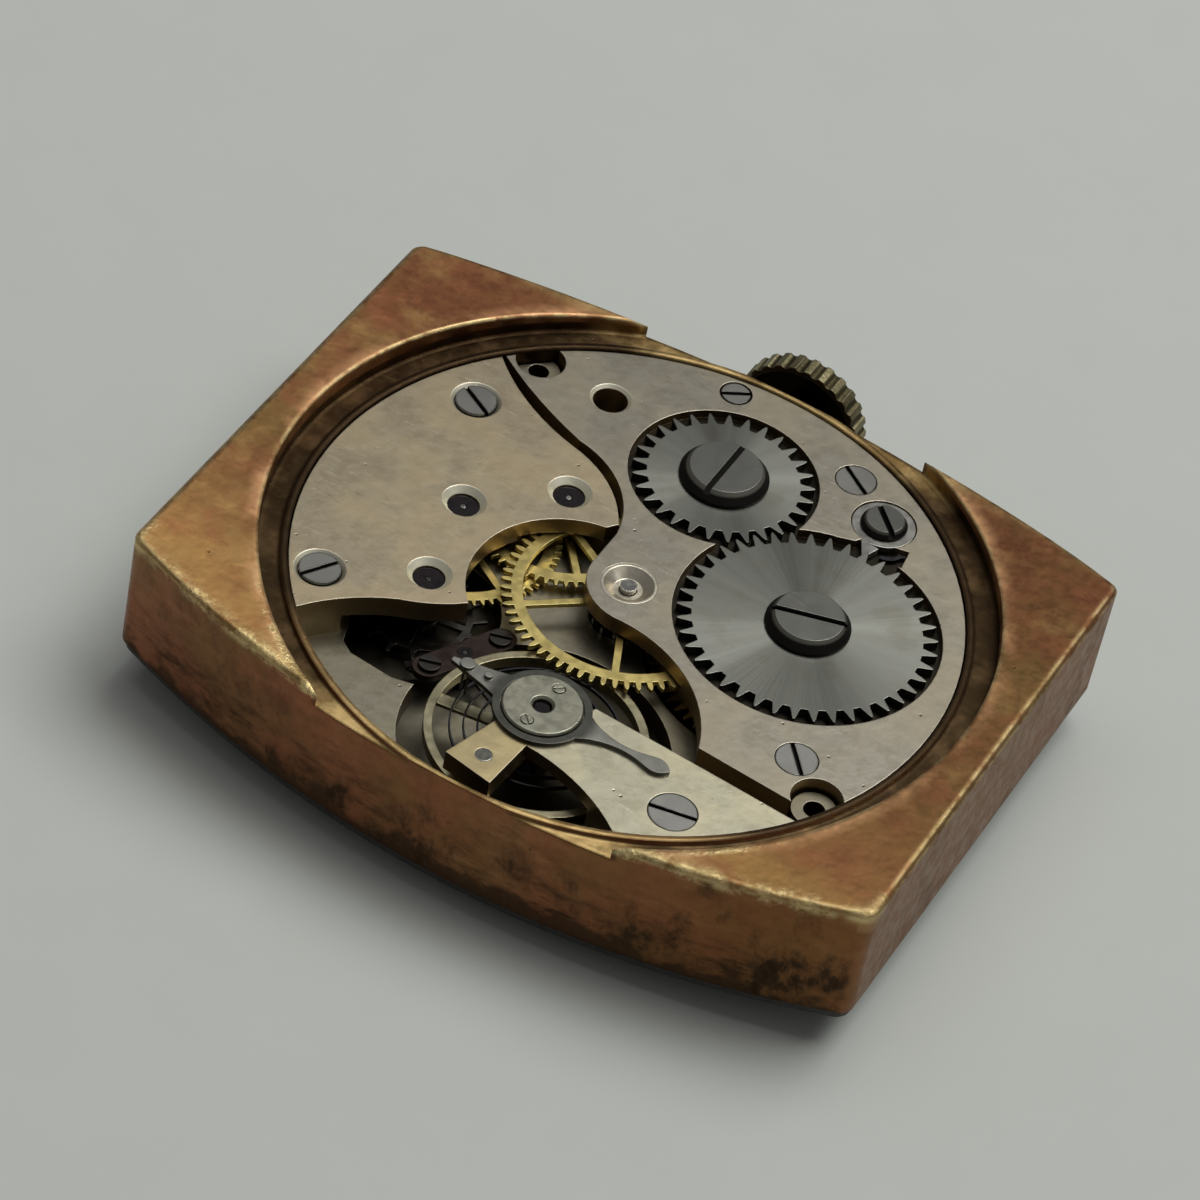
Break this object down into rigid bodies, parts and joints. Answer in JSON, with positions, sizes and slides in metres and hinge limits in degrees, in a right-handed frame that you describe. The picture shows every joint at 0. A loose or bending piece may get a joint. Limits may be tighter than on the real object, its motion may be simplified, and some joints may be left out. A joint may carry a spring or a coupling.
{
  "type": "mechanical watch movement",
  "caption": "Hand wound mechanical wrist watch movement with bridges, wheels, balance and winding crown, held in a curved rectangular casing frame.",
  "frame": {"origin": "on the centre wheel's axis, in the plane where the dial side of the main plate ends and sits on the dial's side", "axes": "+X to 12 o'clock along the frame's length, +Y along the winding stem to the crown, +Z to the back of the watch, where the bridges are"},
  "size_m": [0.0288, 0.0265, 0.0067],
  "materials": {
    "frame_copper": "aged copper coloured",
    "nickel": "matte nickel plated",
    "cock_nickel": "satin nickel plated",
    "steel": "polished steel",
    "dark_steel": "grey steel",
    "brass": "satin",
    "gold_brass": "worn, satin",
    "jewel": "polished ruby",
    "spring_steel": "polished spring steel",
    "crown_brass": "worn, satin",
    "dial_black": "matte charcoal",
    "blued_steel": "blued"
  },
  "bodies": {
    "frame_body": {"casing_frame": "frame_copper", "main_plate": "nickel", "barrel_bridge": "nickel", "train_bridge": "nickel", "balance_cock": "cock_nickel", "pallet_cock": "cock_nickel", "keyless_cover": "nickel", "bridge_screws": "steel", "balance_cock_screw": "steel", "small_screws": "steel", "centre_bushing": "steel", "upper_jewels": "jewel", "plate_jewels": "jewel", "balance_jewels": "jewel", "cap_plate": "dark_steel", "cap_screws": "steel", "crown_wheel_screw": "steel", "click_screw": "steel", "click_spring": "spring_steel", "yoke_spring": "spring_steel", "hairspring_stud": "dark_steel", "hairspring": "spring_steel", "mainspring": "spring_steel", "dial": "dial_black"},
    "centre_arbor": {"centre_wheel": "brass", "centre_pinion": "steel", "cannon_pinion": "steel", "minute_hand": "blued_steel"},
    "third_arbor": {"third_wheel": "brass", "third_pinion": "steel"},
    "fourth_arbor": {"fourth_wheel": "brass", "fourth_pinion": "steel", "seconds_hand": "blued_steel"},
    "escape_arbor": {"escape_wheel": "steel", "escape_pinion": "steel"},
    "pallets": {"pallet_fork": "steel", "pallet_stones": "jewel", "pallet_arbor": "steel"},
    "balance": {"balance_wheel": "gold_brass", "balance_staff": "steel", "roller": "gold_brass"},
    "barrel_drum": {"barrel": "brass", "barrel_cover": "brass"},
    "ratchet": {"barrel_arbor": "steel", "ratchet_wheel": "steel", "ratchet_screw": "steel"},
    "crown_gear": {"crown_wheel": "steel"},
    "click_body": {"click": "steel"},
    "winding_gear": {"winding_pinion": "steel"},
    "stem": {"winding_stem": "steel", "crown": "crown_brass"},
    "sliding_gear": {"sliding_pinion": "steel"},
    "lever": {"setting_lever": "steel", "setting_lever_screw": "steel"},
    "yoke_body": {"yoke": "steel"},
    "index": {"regulator": "dark_steel"},
    "minute_gear": {"minute_wheel": "brass"},
    "setting_gear": {"setting_wheel": "brass"},
    "hour_gear": {"hour_wheel": "brass", "hour_hand": "blued_steel"}
  },
  "joints": [
    {"name": "seconds_turn", "type": "hinge", "parent": "frame_body", "child": "fourth_arbor", "pos_m": [-0.00665, 0, 0.002], "axis": [0, 0, 1], "continuous": true},
    {"name": "centre_turn", "type": "hinge", "parent": "frame_body", "child": "centre_arbor", "pos_m": [0, 0, 0.002], "axis": [0, 0, 1], "continuous": true},
    {"name": "third_turn", "type": "hinge", "parent": "frame_body", "child": "third_arbor", "pos_m": [-0.0039, 0.00272, 0.002], "axis": [0, 0, 1], "continuous": true},
    {"name": "escape_turn", "type": "hinge", "parent": "frame_body", "child": "escape_arbor", "pos_m": [-0.0058, -0.00387, 0.002], "axis": [0, 0, 1], "continuous": true},
    {"name": "barrel_turn", "type": "hinge", "parent": "frame_body", "child": "barrel_drum", "pos_m": [0.00599, 0.00207, 0.002], "axis": [0, 0, 1], "continuous": true},
    {"name": "minute_gear_turn", "type": "hinge", "parent": "frame_body", "child": "minute_gear", "pos_m": [0.00235, 0.00203, 0.0003], "axis": [0, 0, 1], "continuous": true},
    {"name": "hour_turn", "type": "hinge", "parent": "frame_body", "child": "hour_gear", "pos_m": [0, 0, 0.0001], "axis": [0, 0, 1], "continuous": true},
    {"name": "setting_gear_turn", "type": "hinge", "parent": "frame_body", "child": "setting_gear", "pos_m": [0, 0.00478, 0.0003], "axis": [0, 0, 1], "continuous": true},
    {"name": "crown_turn", "type": "hinge", "parent": "frame_body", "child": "winding_gear", "pos_m": [0, 0.0084, 0.00162], "axis": [0, -1, 0], "range_deg": [0, 4135]},
    {"name": "crown_gear_turn", "type": "hinge", "parent": "frame_body", "child": "crown_gear", "pos_m": [0.00012, 0.00683, 0.0038], "axis": [0, 0, 1], "range_deg": [-1, 3309]},
    {"name": "ratchet_turn", "type": "hinge", "parent": "frame_body", "child": "ratchet", "pos_m": [0.00599, 0.00207, 0.0038], "axis": [0, 0, 1], "range_deg": [-2341, 1]},
    {"name": "crown_pull", "type": "slide", "parent": "winding_gear", "child": "stem", "axis": [0, 1, 0], "range_m": [0, 0.0007]},
    {"name": "sliding_shift", "type": "slide", "parent": "winding_gear", "child": "sliding_gear", "axis": [0, 1, 0], "range_m": [-0.0007, 0.00001]},
    {"name": "setting_lever_turn", "type": "hinge", "parent": "frame_body", "child": "lever", "pos_m": [-0.0016, 0.011, 0.0004], "axis": [0, 0, 1], "range_deg": [-0.5, 25.5]},
    {"name": "yoke_turn", "type": "hinge", "parent": "frame_body", "child": "yoke_body", "pos_m": [-0.0029, 0.0086, 0.0004], "axis": [0, 0, 1], "range_deg": [-15, 0.5], "deforming": ["yoke_spring"]},
    {"name": "click_turn", "type": "hinge", "parent": "frame_body", "child": "click_body", "pos_m": [0.00585, 0.0083, 0.0038], "axis": [0, 0, 1], "range_deg": [0, 14], "stiffness_Nm_per_rad": 0.0000002, "deforming": ["click_spring"]},
    {"name": "fork_turn", "type": "hinge", "parent": "frame_body", "child": "pallets", "pos_m": [-0.00345, -0.0051, 0.00195], "axis": [0, 0, 1], "range_deg": [-5, 5]},
    {"name": "balance_turn", "type": "hinge", "parent": "frame_body", "child": "balance", "pos_m": [0.00055, -0.0072, 0.0026], "axis": [0, 0, 1], "range_deg": [-270, 270], "stiffness_Nm_per_rad": 0.00000015, "deforming": ["hairspring"]},
    {"name": "index_turn", "type": "hinge", "parent": "frame_body", "child": "index", "pos_m": [0.00055, -0.0072, 0.0041], "axis": [0, 0, 1], "range_deg": [-12, 12]}
  ],
  "couplings": [
    {"joint": "centre_turn", "follows": "seconds_turn", "ratio": 0.016667},
    {"joint": "third_turn", "follows": "seconds_turn", "ratio": -0.13333},
    {"joint": "escape_turn", "follows": "seconds_turn", "ratio": -10},
    {"joint": "barrel_turn", "follows": "seconds_turn", "ratio": -0.0032407},
    {"joint": "minute_gear_turn", "follows": "seconds_turn", "ratio": -0.0055556},
    {"joint": "hour_turn", "follows": "seconds_turn", "ratio": 0.0013889},
    {"joint": "setting_gear_turn", "follows": "seconds_turn", "ratio": 0.01},
    {"joint": "crown_gear_turn", "follows": "crown_turn", "ratio": 0.8},
    {"joint": "ratchet_turn", "follows": "crown_turn", "ratio": -0.56585},
    {"joint": "sliding_shift", "follows": "crown_pull", "ratio": -1},
    {"joint": "setting_lever_turn", "follows": "crown_pull", "rad_per_m": 623.3},
    {"joint": "yoke_turn", "follows": "crown_pull", "rad_per_m": -364}
  ]
}
